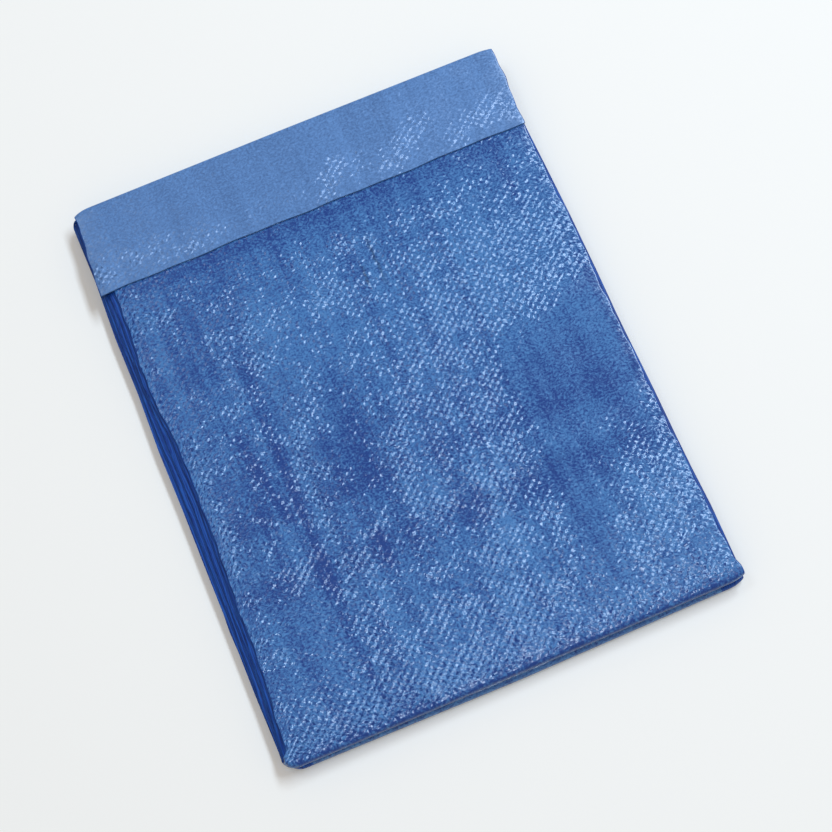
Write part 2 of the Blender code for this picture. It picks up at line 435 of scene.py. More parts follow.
# How crisp the weave stands on the top panel, as soft patches in mm from its bottom left:
# centre, half widths, turn and strength. Elsewhere the tapes are pressed nearly flat.
CRISP_PATCHES = (
    (18.0, 257.0, 16.0, 5.0, 0.0, 1.00),
    (14.0, 272.0, 5.0, 13.0, 0.0, 1.00),
    (138.0, 256.0, 28.0, 5.0, 0.0, 0.85),
    (198.0, 255.0, 28.0, 6.0, 0.0, 0.70),
    (47.0, 258.0, 3.0, 6.0, 0.0, 0.60),
    (256.0, 258.0, 4.0, 10.0, 0.0, 0.90),
    (65.0, 232.0, 20.0, 9.0, 0.0, 0.70),
    (117.0, 233.0, 14.0, 9.0, 0.0, 1.00),
    (212.0, 228.0, 48.0, 10.0, 0.0, 0.95),
    (196.0, 208.0, 52.0, 24.0, 0.0, 0.85),
    (240.0, 212.0, 20.0, 20.0, 0.0, 0.90),
    (205.0, 190.0, 30.0, 12.0, 0.0, 0.90),
    (154.0, 168.0, 24.0, 22.0, 0.0, 0.90),
    (120.0, 130.0, 11.0, 22.0, 0.0, 1.00),
    (150.0, 144.0, 24.0, 12.0, 0.0, 0.70),
    (174.0, 142.0, 10.0, 32.0, 0.0, 0.80),
    (160.0, 115.0, 20.0, 14.0, 0.0, 0.60),
    (122.0, 98.0, 9.0, 18.0, 0.0, 0.70),
    (135.0, 112.0, 8.0, 14.0, 0.0, 0.50),
    (240.0, 60.0, 16.0, 26.0, 0.0, 0.85),
    (222.0, 38.0, 18.0, 20.0, 0.0, 0.70),
    (65.0, 215.0, 5.0, 16.0, 0.0, 0.70),
    (88.0, 192.0, 5.0, 8.0, 0.0, 0.80),
    (12.0, 232.0, 12.0, 4.0, 0.0, 0.60),
    (26.0, 208.0, 4.0, 4.0, 0.0, 0.70),
    (76.0, 87.0, 16.0, 18.0, 0.0, 0.60),
    (70.0, 60.0, 9.0, 14.0, 0.0, 0.40),
    (42.0, 92.0, 6.0, 8.0, 0.0, 0.60),
    (18.0, 92.0, 6.0, 6.0, 0.0, 0.50),
    (10.0, 69.0, 6.0, 4.0, 0.0, 1.00),
    (22.0, 58.0, 6.0, 5.0, 0.0, 0.70),
    (116.0, 45.0, 14.0, 20.0, 0.0, 0.35),
    (150.0, 32.0, 22.0, 8.0, 0.0, 0.40),
    (70.0, 32.0, 22.0, 8.0, 0.0, 0.35),
    (8.0, 10.0, 8.0, 4.0, 0.0, 1.00),
    (22.0, 11.0, 8.0, 4.0, 0.0, 1.00),
    (57.0, 14.0, 9.0, 8.0, 0.0, 1.00),
    (81.0, 12.0, 7.0, 6.0, 0.0, 1.00),
    (105.0, 12.0, 10.0, 5.0, 0.0, 0.80),
    (130.0, 14.0, 3.0, 9.0, 0.0, 1.00),
    (152.0, 12.0, 3.0, 7.0, 0.0, 0.80),
    (168.0, 12.0, 3.0, 8.0, 0.0, 0.80),
    (182.0, 10.0, 4.0, 6.0, 0.0, 0.60),
    (204.0, 13.0, 9.0, 6.0, 0.0, 0.90),
    (219.0, 15.0, 3.0, 10.0, 0.0, 1.00),
    (231.0, 13.0, 4.0, 9.0, 0.0, 1.00),
    (250.0, 12.0, 10.0, 6.0, 0.0, 0.90),
)
# The same along lines: both ends, half width and strength.
CRISP_STROKES = (
    (161.0, 110.0, 140.0, 27.0, 11.0, 0.80),
    (182.0, 77.0, 177.0, 40.0, 5.0, 0.60),
    (255.0, 175.0, 255.0, 36.0, 4.0, 0.90),
    (75.0, 170.0, 66.0, 122.0, 6.0, 0.85),
    (50.0, 236.0, 50.0, 193.0, 4.0, 0.70),
    (17.0, 184.0, 16.0, 108.0, 4.0, 0.75),
    (0.0, 12.0, 260.0, 12.0, 6.0, 0.45),
)
CRISP_FLOOR = 0.32
# Painted sheen: the blue is painted paler by this share of the crispness above the floor.
SHEEN_PAINTED_WHERE_CRISP = 0.40
# Pressed facets where the film lies smooth: centre, half widths, turn and the share they take.
SMOOTH_PATCHES = (
    (232.0, 130.0, 24.0, 30.0, 0.0, 0.70),
    (203.0, 90.0, 14.0, 36.0, 0.0, 0.60),
    (30.0, 222.0, 22.0, 24.0, 0.0, 0.55),
    (95.0, 155.0, 8.0, 48.0, 0.0, 0.40),
    (150.0, 276.0, 115.0, 9.0, 0.0, 0.70),
    (40.0, 60.0, 22.0, 30.0, 0.0, 0.55),
    (197.0, 54.0, 9.0, 26.0, 0.0, 0.60),
    (130.0, 0.0, 400.0, 5.0, 0.0, 0.95),
)
# A facet pressed flat at the right: its upper border as distances across and up the panel, the
# height it goes down to, its left end, how soft its borders are, and the share it takes.
FACET_BORDER = ((196.0, 222.0, 257.0), (160.0, 177.0, 194.0))
FACET_LOW = 116.0
FACET_LEFT = 190.0
FACET_SOFT = 2.0
FACET_SHARE = 0.85


def pressed_facet(across_mm, along_mm):
    """Share of the facet at each point: one inside, falling over its soft borders as a
    logistic curve of the distance from each."""
    def inside(distance):
        return 1.0 / (1.0 + np.exp(-np.clip(distance / FACET_SOFT, -30.0, 30.0)))
    return (inside(np.interp(across_mm, *FACET_BORDER) - along_mm)
            * inside((along_mm - FACET_LOW) / 3) * inside((across_mm - FACET_LEFT) / 2))


# The flap: centre across and distance in from its free edge, half widths, turn and strength.
FLAP_CRISP_PATCHES = (
    (30.0, 13.0, 5.0, 4.0, 0.0, 0.60),
    (6.0, 11.0, 7.0, 6.0, 0.0, 1.00),
    (60.0, 5.0, 10.0, 3.0, 0.0, 0.50),
    (100.0, 10.0, 100.0, 8.0, 0.0, 0.12),
    (34.0, 12.0, 36.0, 9.0, 0.0, 0.28),
)
# The same along lines: both ends, half width and strength.
FLAP_CRISP_STROKES = (
    (138.0, 5.0, 150.0, 20.0, 5.0, 0.80),
    (156.0, 6.0, 163.0, 22.0, 3.0, 0.50),
    (178.0, 8.0, 202.0, 24.0, 7.0, 1.00),
    (220.0, 9.0, 243.0, 18.0, 6.0, 1.00),
    (243.0, 18.0, 256.0, 12.0, 6.0, 1.00),
)
FLAP_CRISP_FLOOR = 0.07


def crispness(across_mm, along_mm, patches, strokes, pressed, floor):
    """How crisp the weave stands, from nought to one: the floor, joined by each raised patch and
    stroke as chances are joined, then less the share that each pressed patch takes."""
    flat = np.full(np.broadcast(across_mm, along_mm).shape, 1.0 - floor)
    for *where, strength in patches:
        flat = flat * (1.0 - strength * patch(across_mm, along_mm, *where))
    for *where, strength in strokes:
        flat = flat * (1.0 - strength * stroke(across_mm, along_mm, *where))
    crisp = 1.0 - flat
    for *where, strength in pressed:
        crisp = crisp * (1.0 - strength * patch(across_mm, along_mm, *where))
    return crisp


# Painted shade and painted light on the top panel: darker where shade falls, as under the flap's
# free edge, and paler where the film shows a sheen, as soft-edged oblongs: centre, half widths
# and share.
PAINTED_LIGHT_AND_SHADE_BANDS = (
    (60.0, 280.0, 75.0, 5.5, -0.55),
    (190.0, 281.0, 75.0, 5.0, -0.36),
    (28.0, 150.0, 24.0, 90.0, -0.14),
    (55.0, 262.0, 50.0, 14.0, -0.20),
    (37.0, 227.0, 22.0, 22.0, -0.35),
    (130.0, 142.0, 140.0, 20.5, -0.27),
    (165.0, 226.0, 100.0, 38.0, 0.14),
    (232.0, 160.0, 30.0, 22.0, 0.22),
    (130.0, 91.3, 140.0, 9.5, -0.50),
    (150.0, 126.0, 110.0, 5.0, -0.25),
    (160.0, 66.0, 12.0, 16.0, 0.25),
    (228.0, 58.0, 20.0, 24.0, 0.15),
    (210.0, 212.0, 54.0, 40.0, 0.12),
)
# Painted shade along the creases and over the bottom roll, and painted light along two pale
# ridges: both ends, half width and share.
PAINTED_LIGHT_AND_SHADE_STROKES = (
    (58.8, 210.0, 58.8, 162.0, 3.4, -0.55),
    (58.8, 162.0, 58.8, 82.0, 3.4, -1.15),
    (58.8, 82.0, 58.8, 60.0, 3.0, -0.70),
    (42.0, 175.0, 50.7, 124.0, 3.0, -1.00),
    (60.0, 60.0, 61.0, 30.0, 2.0, -0.40),
    (84.5, 162.0, 84.5, 127.0, 2.5, -0.55),
    (100.6, 190.0, 100.6, 162.0, 5.0, -0.40),
    (100.6, 162.0, 100.6, 122.0, 3.4, -0.40),
    (91.6, 99.0, 91.6, 80.0, 2.6, -0.90),
    (147.0, 99.0, 147.0, 82.0, 3.0, -0.70),
    (253.0, 163.0, 253.0, 98.0, 2.5, -0.25),
    (12.0, 92.0, 34.0, 92.0, 5.0, -0.30),
    (26.0, 129.0, 36.0, 129.0, 6.0, -0.30),
    (200.0, 131.0, 200.0, 121.0, 4.0, -0.30),
    (161.0, 100.0, 142.0, 36.0, 7.0, 0.32),
    (255.0, 66.0, 212.0, 36.0, 9.0, 0.26),
    (0.0, 0.0, 260.0, 0.0, 8.0, -1.00),
)
# Painted light on the flap, paler from left to right, and painted shade where its left side
# rolls over; and the painted shade of the plies that stand out below.
SIDE_ROLL_SHADE = 1.0
SIDE_ROLL = 4.0
FLAP_PAINTED_LIGHT_LEFT = 0.80
FLAP_PAINTED_LIGHT_RIGHT = 1.25
RECESS_SHADE = 0.42
# The lower bundle's fold stands out under the upper one, in the light.
LOWER_FOLD_SHADE = 1.15
LOWER_FOLD_DEPTH = 6.0


def paint_light_and_shade(ring, levels):
    """Painted light and shade, as a factor of the blue: one plus the painted bands and strokes on the
    top panel, and on the flap a painted gradient and the painted shade of its rolled left side.
    The plies that stand out under it at the sides are painted in the shade of the plies above
    them."""
    across_mm = ring[:, :, 0] + WIDTH / 2
    along_mm = ring[:, :, 1] + LENGTH / 2
    painted_light_and_shade = np.ones(across_mm.shape)
    for centre_x, centre_y, half_x, half_y, share in PAINTED_LIGHT_AND_SHADE_BANDS:
        painted_light_and_shade += share * np.exp(-((across_mm - centre_x) / half_x) ** 4
                               - ((along_mm - centre_y) / half_y) ** 4)
    for *where, share in PAINTED_LIGHT_AND_SHADE_STROKES:
        painted_light_and_shade += share * stroke(across_mm, along_mm, *where)
    level = levels[:, None]
    # Painted light on the flap, paler to the right, less the painted shade of its rolled left side.
    flap_painted_light_and_shade = FLAP_PAINTED_LIGHT_LEFT + (FLAP_PAINTED_LIGHT_RIGHT - FLAP_PAINTED_LIGHT_LEFT) * across_mm / WIDTH
    flap_painted_light_and_shade = flap_painted_light_and_shade - SIDE_ROLL_SHADE * bell(across_mm, SIDE_ROLL)
    painted_light_and_shade = np.where(level > TOP_PANEL, flap_painted_light_and_shade, painted_light_and_shade)
    lower_fold = (level <= LOWEST_BUNDLE_TOP) & (along_mm < LOWER_FOLD_DEPTH)
    below = np.where(lower_fold, LOWER_FOLD_SHADE, RECESS_SHADE)
    return np.where(level >= TOP_PANEL, painted_light_and_shade, below)


# Distance along the sheet from the flap's free edge, in mm, and the slant of the tapes there.
SLANT_PLACES = (0.0, 49.0, 260.0, 330.0, 386.0)
SLANT_DEGREES = (0.0, 1.0, 1.5, 6.0, 11.0)


def weave_slant(along):
    """How far the tapes along the sheet have wandered sideways, in mm: the sum of the tangent of
    their slant over the way along, which grows towards the bottom fold."""
    degrees = np.interp(along, SLANT_PLACES, SLANT_DEGREES, right=0.0)
    steps = np.diff(along, prepend=0.0)
    return np.cumsum(np.tan(np.radians(degrees)) * steps)


def make_piece(name, points, faces, materials, slots):
    """Mesh object from arrays of points in mm and faces, with a material slot for each face."""
    mesh = bpy.data.meshes.new(name)
    mesh.from_pydata((points * MM).tolist(), [], faces)
    for material in materials:
        mesh.materials.append(material)
    mesh.polygons.foreach_set("material_index", np.asarray(slots, np.int32))
    mesh.shade_smooth()
    mesh.update()
    piece = bpy.data.objects.new(name, mesh)
    bpy.context.scene.collection.objects.link(piece)
    return piece


def add(tree, kind, *inputs, out=0, named=None, **settings):
    """Adds one shader node and gives one of its outputs: its settings by name, and its inputs by
    number or name, each linked if it is another node's output and set if it is a value."""
    node = tree.nodes.new("ShaderNode" + kind)
    for key, value in settings.items():
        setattr(node, key, value)
    for key, value in [*enumerate(inputs), *(named or {}).items()]:
        if isinstance(value, bpy.types.NodeSocket):
            tree.links.new(value, node.inputs[key])
        elif value is not None:
            node.inputs[key].default_value = value
    return node.outputs[out]


HALF = (0.5, 0.5, 0.5)
# The share of a crossing's width by which its crest leans over its length.
CREST_LEAN = 0.42
# Slopes of the weave where it stands crispest, as rise over run. It stands tallest at the left
# side and lowest at the right one.
SLOPE_AT_LEFT = 0.50
SLOPE_AT_RIGHT = 0.20
ALONG_TO_ACROSS = 0.5
# Power of the sine along each crest: under one its ends are blunt.
CREST_ENDS = 0.8
# Power of the distance from a tape's middle: the painted shade between the tapes lies near
# their edges only.
TAPE_EDGE_POWER = 4.0
# Painted shade on the side of a crest that faces left, away from the right softbox, and painted
# light on the side that faces right.
CREST_PAINTED_SHADE = 0.75
# Sharp short creases along the top panel, darkened as painted shade: distance across, both
# ends up the panel, half width, in mm, and the share of the light lost in them.
CUT_CREASES = (
    (146.6, 230.0, 259.0, 0.8, 0.46),
    (137.6, 231.0, 244.0, 0.9, 0.40),
)
# Length of the sheet in the fold between flap and top panel, in mm.
TOP_FOLD_LENGTH = 2.0
MOST_RELIEF = 1.0
STRAY_TILT = 0.14
FILM_RIPPLE = 0.86
# The share of the film's ripple left where the weave lies flat.
CALM_RIPPLE = 0.15
COCKLE = 0.15
# The weave wanders slowly and quickly, by shares of a tape across and along.
SLOW_WANDER = (1.4, 1.4, 0.0)
QUICK_WANDER = (1.1, 1.3, 0.0)
# Scales of the noises, per tape.
SLOW_WANDER_SCALE = 0.11
QUICK_WANDER_SCALE = 0.7
MOTTLE_SCALE = 0.22
RIPPLE_SCALE = 1.8
COCKLE_SCALE = 0.17
GRAIN_SCALE = 1.8
# A crest's height is a share of its neighbours' by chance: the spread and the least.
CREST_CHANCE = (1.30, 0.25)
# Some areas of the weave stand tall and some low: the mottle's gain and offset, its least and
# most, and how it fills in where the weave stands crisp.
MOTTLE_GAIN = (4.6, -1.42)
LEAST_MOTTLE = 0.14
MOST_MOTTLE = 1.15
CRISP_FILL = (3.0, -2.3)
RELIEF_GAIN = 1.7
# How much deeper or paler the dye looks by each cause, all times the grain of the face; the
# darkening along the tapes' edges is painted shade between the tapes.
GRAIN_GAIN = (6.6, -3.45)
CROSSING_SHADE = 0.40
TURN_SHADE = -0.12
TAPE_EDGE_PAINTED_SHADE = -0.50
COLUMN_SHADE = 0.30
ROW_SHADE = 0.20
STREAK_SHADE = (2.2, -1.1)
STREAK_STRETCH = (0.30, 0.02, 0.0)


def woven_tapes(tree, lean, grain):
    """Normal, shade and light of a plain weave of flat tapes under a film.

    The weave's coordinates count tapes, moved by a slow noise of a fraction of a tape. The weave
    is an egg crate: its height is the sine of half a turn a tape across times the same along,
    so that crests and hollows take turns like a checkerboard, and each crest leans sideways by
    the place along its tape. The crispness and a random share for each crest scale the slopes.
    A slow noise lets some areas stand tall and others low. Each crest has a random tilt of its
    own, and noises add the film's ripple and the sheet's cockle. The shade is the painted light
    and shade laid on the sheet, more or less by a fine noise, long streaks, a random share for
    each crossing and each tape, with painted shade along the tapes' edges and on the left side
    of each crest and painted light on its right side. The light is one, less in the sharp
    creases as painted shade: by each one's share times a bell across it and along it.
    """
    weave = add(tree, "UVMap", uv_map="weave")
    crisp = add(tree, "Attribute", attribute_name="crisp", out="Fac")
    painted_light_and_shade = add(tree, "Attribute", attribute_name="painted_light_and_shade", out="Fac")
    slow = add(tree, "TexNoise", weave, out="Color", named={"Scale": SLOW_WANDER_SCALE, "Detail": 2.0})
    slow = add(tree, "VectorMath", slow, HALF, operation="SUBTRACT")
    moved = add(tree, "VectorMath", slow, SLOW_WANDER, weave, operation="MULTIPLY_ADD")
    quick = add(tree, "TexNoise", weave, out="Color", named={"Scale": QUICK_WANDER_SCALE, "Detail": 2.0})
    quick = add(tree, "VectorMath", quick, HALF, operation="SUBTRACT")
    moved = add(tree, "VectorMath", quick, QUICK_WANDER, moved, operation="MULTIPLY_ADD")
    cell = add(tree, "VectorMath", moved, operation="FLOOR")
    inside = add(tree, "VectorMath", moved, cell, operation="SUBTRACT")
    inside = add(tree, "VectorMath", inside, HALF, operation="SUBTRACT")
    parts = add(tree, "SeparateXYZ", inside).node.outputs
    counts = add(tree, "SeparateXYZ", cell).node.outputs
    places = add(tree, "SeparateXYZ", moved).node.outputs

    leaning = add(tree, "Math", parts[1], lean, places[0], operation="MULTIPLY_ADD")
    turns = add(tree, "CombineXYZ", leaning, places[1], 0.0)
    turns = add(tree, "VectorMath", turns, (np.pi, np.pi, 0.0), operation="MULTIPLY")
    sine = add(tree, "VectorMath", turns, operation="SINE")
    cosine = add(tree, "VectorMath", turns, operation="COSINE")
    sines = add(tree, "SeparateXYZ", sine).node.outputs
    cosines = add(tree, "SeparateXYZ", cosine).node.outputs
    # Each crest is narrower than it is long: the cosine times its own size, and the root of
    # the sine along with its sign kept.
    narrow = add(tree, "Math", cosines[0], operation="ABSOLUTE")
    narrow = add(tree, "Math", narrow, cosines[0], operation="MULTIPLY")
    long = add(tree, "Math", sines[1], operation="ABSOLUTE")
    long = add(tree, "Math", long, CREST_ENDS, operation="POWER")
    way = add(tree, "Math", sines[1], operation="SIGN")
    long = add(tree, "Math", long, way, operation="MULTIPLY")
    facing_across = add(tree, "Math", narrow, long, operation="MULTIPLY")
    facing_along = add(tree, "Math", sines[0], cosines[1], operation="MULTIPLY")
    crate = add(tree, "CombineXYZ", facing_across, facing_along, 0.0)
    crate = add(tree, "VectorMath", crate, (-1.0, -ALONG_TO_ACROSS, 0.0), operation="MULTIPLY")
    crest = add(tree, "Math", leaning, 0.5, operation="ADD")
    crest = add(tree, "Math", crest, operation="FLOOR")
    crest = add(tree, "CombineXYZ", crest, counts[1], 0.0)
    chance = add(tree, "TexWhiteNoise", crest, noise_dimensions="2D").node.outputs
    strength = add(tree, "Math", chance["Value"], *CREST_CHANCE, operation="MULTIPLY_ADD")
    strength = add(tree, "Math", strength, crisp, operation="MULTIPLY")
    mottle = add(tree, "TexNoise", weave, named={"Scale": MOTTLE_SCALE, "Detail": 2.5})
    mottle = add(tree, "Math", mottle, *MOTTLE_GAIN, operation="MULTIPLY_ADD")
    mottle = add(tree, "Math", mottle, LEAST_MOTTLE, operation="MAXIMUM")
    full = add(tree, "Math", crisp, *CRISP_FILL, operation="MULTIPLY_ADD")
    mottle = add(tree, "Math", mottle, full, operation="MAXIMUM")
    mottle = add(tree, "Math", mottle, MOST_MOTTLE, operation="MINIMUM")
    strength = add(tree, "Math", strength, mottle, operation="MULTIPLY")
    strength = add(tree, "Math", strength, RELIEF_GAIN, operation="MULTIPLY")
    strength = add(tree, "Math", strength, MOST_RELIEF, operation="MINIMUM")
    crest_painted_light_and_shade = add(tree, "Math", facing_across, strength, operation="MULTIPLY")
    relief = add(tree, "Math", places[0], (SLOPE_AT_RIGHT - SLOPE_AT_LEFT) * TAPE_ACROSS / WIDTH,
                 SLOPE_AT_LEFT, operation="MULTIPLY_ADD")
    strength = add(tree, "Math", strength, relief, operation="MULTIPLY")
    crate = add(tree, "VectorMath", crate, operation="SCALE", named={"Scale": strength})

    stray = add(tree, "VectorMath", chance["Color"], HALF, operation="SUBTRACT")
    stray_share = add(tree, "Math", crisp, STRAY_TILT, operation="MULTIPLY")
    stray = add(tree, "VectorMath", stray, operation="SCALE", named={"Scale": stray_share})
    ripple = add(tree, "TexNoise", moved, out="Color", named={"Scale": RIPPLE_SCALE, "Detail": 2.0})
    ripple = add(tree, "VectorMath", ripple, HALF, operation="SUBTRACT")
    ripple_share = add(tree, "Math", crisp, FILM_RIPPLE, CALM_RIPPLE * FILM_RIPPLE,
                       operation="MULTIPLY_ADD")
    ripple = add(tree, "VectorMath", ripple, operation="SCALE", named={"Scale": ripple_share})
    cockle = add(tree, "TexNoise", weave, out="Color", named={"Scale": COCKLE_SCALE, "Detail": 1.5})
    cockle = add(tree, "VectorMath", cockle, HALF, operation="SUBTRACT")
    cockle = add(tree, "VectorMath", cockle, operation="SCALE", named={"Scale": COCKLE})
    slope = add(tree, "VectorMath", crate, stray, operation="ADD")
    slope = add(tree, "VectorMath", slope, ripple, operation="ADD")
    slope = add(tree, "VectorMath", slope, cockle, operation="ADD")
    upright = add(tree, "VectorMath", slope, (1.0, 1.0, 0.0), (0.0, 0.0, 1.0),
                  operation="MULTIPLY_ADD")
    upright = add(tree, "VectorMath", upright, operation="NORMALIZE")
    coded = add(tree, "VectorMath", upright, HALF, HALF, operation="MULTIPLY_ADD")
    normal = add(tree, "NormalMap", 1.0, coded, space="TANGENT", uv_map="weave")

    total = add(tree, "Math", counts[0], counts[1], operation="ADD")
    turn = add(tree, "Math", total, 2.0, operation="FLOORED_MODULO")
    size = add(tree, "VectorMath", inside, operation="ABSOLUTE")
    sizes = add(tree, "SeparateXYZ", size).node.outputs
    edge = add(tree, "Mix", turn, data_type="FLOAT", named={2: sizes[0], 3: sizes[1]}, out=0)
    edge = add(tree, "Math", edge, 2.0, operation="MULTIPLY")
    edge = add(tree, "Math", edge, TAPE_EDGE_POWER, operation="POWER")
    by_crossing = add(tree, "TexWhiteNoise", cell, noise_dimensions="2D")
    by_column = add(tree, "TexWhiteNoise", named={"W": counts[0]}, noise_dimensions="1D")
    by_row = add(tree, "TexWhiteNoise", named={"W": counts[1]}, noise_dimensions="1D")
    fine = add(tree, "TexNoise", moved,
               named={"Scale": GRAIN_SCALE, "Detail": 2.0, "Roughness": 0.6})
    streak = add(tree, "VectorMath", weave, STREAK_STRETCH, operation="MULTIPLY")
    streak = add(tree, "TexNoise", streak, named={"Scale": 1.0, "Detail": 2.0})
    shade = (GRAIN_GAIN[1] + STREAK_SHADE[1]) * grain
    for cause, gain in ((fine, GRAIN_GAIN[0]), (by_crossing, CROSSING_SHADE),
                        (turn, TURN_SHADE), (edge, TAPE_EDGE_PAINTED_SHADE),
                        (by_column, COLUMN_SHADE), (by_row, ROW_SHADE),
                        (streak, STREAK_SHADE[0])):
        shade = add(tree, "Math", cause, gain * grain, shade, operation="MULTIPLY_ADD")
    # Painted shade on the left side of each crest and painted light on its right side.
    shade = add(tree, "Math", crest_painted_light_and_shade, -CREST_PAINTED_SHADE, shade, operation="MULTIPLY_ADD")
    light = 1.0
    for across_mm, low_mm, high_mm, half_mm, share in CUT_CREASES:
        start = FLAP_REACH + TOP_FOLD_LENGTH + LENGTH
        aside = add(tree, "Math", places[0], -across_mm / TAPE_ACROSS, operation="ADD")
        aside = add(tree, "Math", aside, half_mm / TAPE_ACROSS, operation="DIVIDE")
        aside = add(tree, "Math", aside, aside, operation="MULTIPLY")
        middle = (start - (low_mm + high_mm) / 2) / TAPE_ALONG
        beyond = add(tree, "Math", places[1], -middle, operation="ADD")
        beyond = add(tree, "Math", beyond, (high_mm - low_mm) / 2 / TAPE_ALONG,
                     operation="DIVIDE")
        beyond = add(tree, "Math", beyond, 4.0, operation="POWER")
        away = add(tree, "Math", aside, beyond, operation="ADD")
        away = add(tree, "Math", away, -1.0, operation="MULTIPLY")
        here = add(tree, "Math", np.e, away, operation="POWER")
        light = add(tree, "Math", here, -share, light, operation="MULTIPLY_ADD")
    shade = add(tree, "Math", shade, painted_light_and_shade, operation="ADD")
    return normal, shade, light


# Where the shade is one, the dye is this far from its deep colour to its pale one.
BLEND_AT_ONE = 0.5


def tarp_face(name, deep, pale, roughness, lean, grain):
    """Woven polyethylene tape between two cast films fused to it: one satin, colourless surface
    over blue, which breaks into a glint at each crossing of the weave. The blue is blended from
    deep to pale by the dye's random grain and by the painted light and shade laid on it."""
    material = bpy.data.materials.new(name)
    material.use_nodes = True
    tree = material.node_tree
    shader = tree.nodes["Principled BSDF"]
    shader.inputs["Metallic"].default_value = 0.0
    shader.inputs["IOR"].default_value = 1.51
    shader.inputs["Roughness"].default_value = roughness
    normal, shade, light = woven_tapes(tree, lean, grain)
    tree.links.new(normal, shader.inputs["Normal"])
    share = add(tree, "Math", shade, BLEND_AT_ONE, operation="MULTIPLY")
    # The dye's deep and pale blue, blended by its grain and by the painted light and shade.
    dye_and_painted_light = add(tree, "Mix", share, data_type="RGBA", out=2,
               named={6: linear(deep), 7: linear(pale)})
    dye_and_painted_light = add(tree, "VectorMath", dye_and_painted_light, operation="SCALE", named={"Scale": light})
    tree.links.new(dye_and_painted_light, shader.inputs["Base Color"])
    return material


# The lines of the plies, with painted shadow in the gaps between them: distance from one to
# the next, how far a slow noise moves them, its stretch, how strong they are, and the scale of
# the specks between them.
PLY_LINE = 1.3
PLY_DRIFT = 4.5
PLY_STRETCH = (0.6, 0.07, 0.0)
PLY_CONTRAST = 0.32
PLY_SPECK_SCALE = 1.6


def ply_edges(name, colour, painted_gap_shade, roughness):
    """Fold edges of thin plies lying on each other, in the shade of the plies above: painted dark
    blue, with a painted shadow in the gap beside each.

    The lines follow the distance in from the level's own edge, moved a little by a noise along
    the edge. Their reflection is turned down as painted shade, which keeps the room's light off
    them."""
    material = bpy.data.materials.new(name)
    material.use_nodes = True
    tree = material.node_tree
    shader = tree.nodes["Principled BSDF"]
    shader.inputs["Roughness"].default_value = roughness
    shader.inputs["IOR"].default_value = 1.51
    shader.inputs["Specular IOR Level"].default_value = 0.16
    inwards = add(tree, "Attribute", attribute_name="inwards", out="Fac")
    weave = add(tree, "UVMap", uv_map="weave")
    long = add(tree, "VectorMath", weave, PLY_STRETCH, operation="MULTIPLY")
    drift = add(tree, "TexNoise", long, named={"Scale": 1.0, "Detail": 3.0})
    place_in = add(tree, "Math", drift, PLY_DRIFT, inwards, operation="MULTIPLY_ADD")
    wave = add(tree, "Math", place_in, 2 * np.pi / PLY_LINE, operation="MULTIPLY")
    wave = add(tree, "Math", wave, operation="SINE")
    speck = add(tree, "TexNoise", weave, named={"Scale": PLY_SPECK_SCALE, "Detail": 2.0})
    share = add(tree, "Math", wave, PLY_CONTRAST, speck, operation="MULTIPLY_ADD")
    blend = add(tree, "Mix", share, data_type="RGBA", out=2,
                named={6: linear(painted_gap_shade), 7: linear(colour)})
    tree.links.new(blend, shader.inputs["Base Color"])
    return material


# Material slots of the sheet.
FACE = 0
REVERSE = 1
# The ply edges and the inner panels' side strips lie in painted shade.
PLY_EDGES_IN_PAINTED_SHADE = 2


def sheet_columns():
    """Shares across the sheet, from left to right: close together in the strip at each side."""
    strip = SIDE_STRIP / WIDTH
    return np.concatenate([
        np.linspace(0.0, strip, SIDE_STRIP_COLUMNS, endpoint=False),
        np.linspace(strip, 1.0 - strip, MIDDLE_COLUMNS, endpoint=False),
        1.0 - np.linspace(strip, 0.0, SIDE_STRIP_COLUMNS),
    ])


def side_slots(side, levels, edge_count, ring_count):
    """Material slot of each quad round each row: the face above, the reverse below, and ply edges
    between them and on the strips at the sides of the inner panels, painted dark as the shade
    they lie in."""
    column_count = len(side)
    slot_of_column = np.full(ring_count, PLY_EDGES_IN_PAINTED_SHADE)
    slot_of_column[:column_count - 1] = FACE
    lower_start = column_count + edge_count
    slot_of_column[lower_start:lower_start + column_count - 1] = REVERSE
    slots = np.tile(slot_of_column, (len(levels) - 1, 1))
    under = (levels[:-1] < TOP_PANEL) & (levels[:-1] > 1)
    near_side = np.minimum(side[:-1], 1.0 - side[1:]) * WIDTH < SIDE_STRIP
    upper_strip = np.flatnonzero(near_side)
    lower_strip = lower_start + column_count - 2 - upper_strip
    slots[np.ix_(under, np.concatenate([upper_strip, lower_strip]))] = PLY_EDGES_IN_PAINTED_SHADE
    return slots.ravel()


def lay_on(mesh, name, values):
    """Writes one number for each point of the mesh, under a name that the materials read."""
    layer = mesh.attributes.new(name, "FLOAT", "POINT")
    layer.data.foreach_set("value", values.astype(np.float32).ravel())


